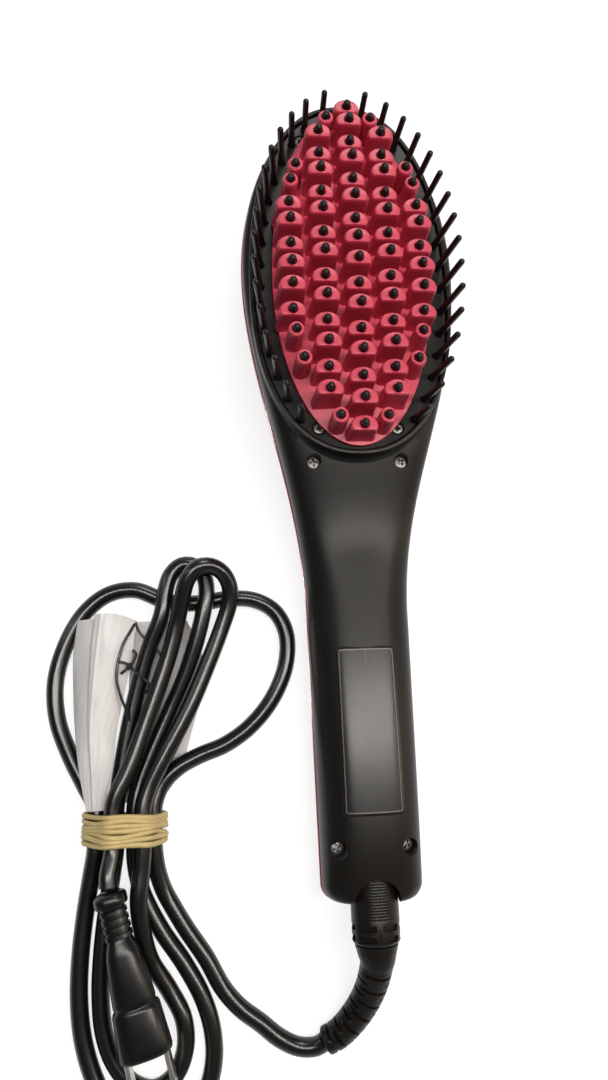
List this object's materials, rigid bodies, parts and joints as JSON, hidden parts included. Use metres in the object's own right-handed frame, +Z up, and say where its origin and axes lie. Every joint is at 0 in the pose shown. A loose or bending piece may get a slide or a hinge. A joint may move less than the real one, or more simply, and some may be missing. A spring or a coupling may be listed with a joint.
{
  "type": "hair straightening brush",
  "caption": "Heated oval paddle brush with a pin plate, cool outer bristles, push buttons, a swivel cord outlet and a banded mains cord with a two-blade plug.",
  "frame": {"origin": "on the table, under the middle of the brush and its swivel collar, without the mains cord", "axes": "+Y along the brush towards the tip of the head, +X to the right as seen with the bristles up, +Z up along the bristles"},
  "size_m": [0.1505, 0.3648, 0.0584],
  "materials": {
    "soft_black": "soft-touch black",
    "ring_black": "moulded black, low sheen",
    "gloss_pink": "glossy deep pink",
    "plate_pink": "satin coated pink",
    "steel": "bright",
    "brass": "plain",
    "board_green": "solder-mask green",
    "ceramic": "off-white",
    "dark_gloss": "dark",
    "relay_blue": "moulded blue",
    "wire_red": "red insulation",
    "cord_black": "smooth black sheath with a soft gloss",
    "band_tan": "tan",
    "paper_white": "white sheet"
  },
  "bodies": {
    "brush": {"front_cover": "soft_black", "bristle_ring": "ring_black", "tip_comb": "ring_black", "back_shell": "gloss_pink", "heating_plate": "plate_pink", "switch_power": "steel", "switch_plus": "steel", "switch_minus": "steel", "thermal_fuse": "steel", "plug_blade_left": "steel", "plug_blade_right": "steel", "plate_screw_lower_left": "steel", "plate_screw_lower_right": "steel", "plate_screw_upper_left": "steel", "plate_screw_upper_right": "steel", "ring_screw_lower_left": "steel", "ring_screw_lower_right": "steel", "ring_screw_upper_left": "steel", "ring_screw_upper_right": "steel", "neck_screw_left": "steel", "neck_screw_right": "steel", "handle_screw_left": "steel", "handle_screw_right": "steel", "board_screw_left": "steel", "board_screw_right": "steel", "contact_finger_live": "brass", "contact_finger_neutral": "brass", "control_board": "board_green", "heater_left": "ceramic", "heater_right": "ceramic", "carrier_plate": "ceramic", "contact_block": "ceramic", "display_module": "ceramic", "display_window": "dark_gloss", "thermistor": "dark_gloss", "filter_capacitor": "dark_gloss", "power_relay": "relay_blue", "mains_wire_neutral": "relay_blue", "heater_wire_neutral": "relay_blue", "mains_wire_live": "wire_red", "heater_wire_live": "wire_red", "strain_relief": "cord_black", "cord_lead": "cord_black", "cord_hank": "cord_black", "plug_body": "cord_black", "tie_band": "band_tan", "tag": "paper_white", "tag_back": "paper_white"},
    "power_cap": {"button_power": "soft_black"},
    "plus_cap": {"button_plus": "soft_black"},
    "minus_cap": {"button_minus": "soft_black"},
    "cord_swivel": {"swivel_collar": "soft_black", "slip_ring_live": "brass", "slip_ring_neutral": "brass"}
  },
  "joints": [
    {"name": "power_press", "type": "slide", "parent": "brush", "child": "power_cap", "axis": [0, 0, 1], "range_m": [0, 0.0006], "stiffness_N_per_m": 400},
    {"name": "plus_press", "type": "slide", "parent": "brush", "child": "plus_cap", "axis": [0, 0, 1], "range_m": [0, 0.0006], "stiffness_N_per_m": 400},
    {"name": "minus_press", "type": "slide", "parent": "brush", "child": "minus_cap", "axis": [0, 0, 1], "range_m": [0, 0.0006], "stiffness_N_per_m": 400},
    {"name": "cord_swivel_turn", "type": "hinge", "parent": "brush", "child": "cord_swivel", "pos_m": [0, -0.14, 0.0165], "axis": [0, 1, 0], "continuous": true}
  ]
}
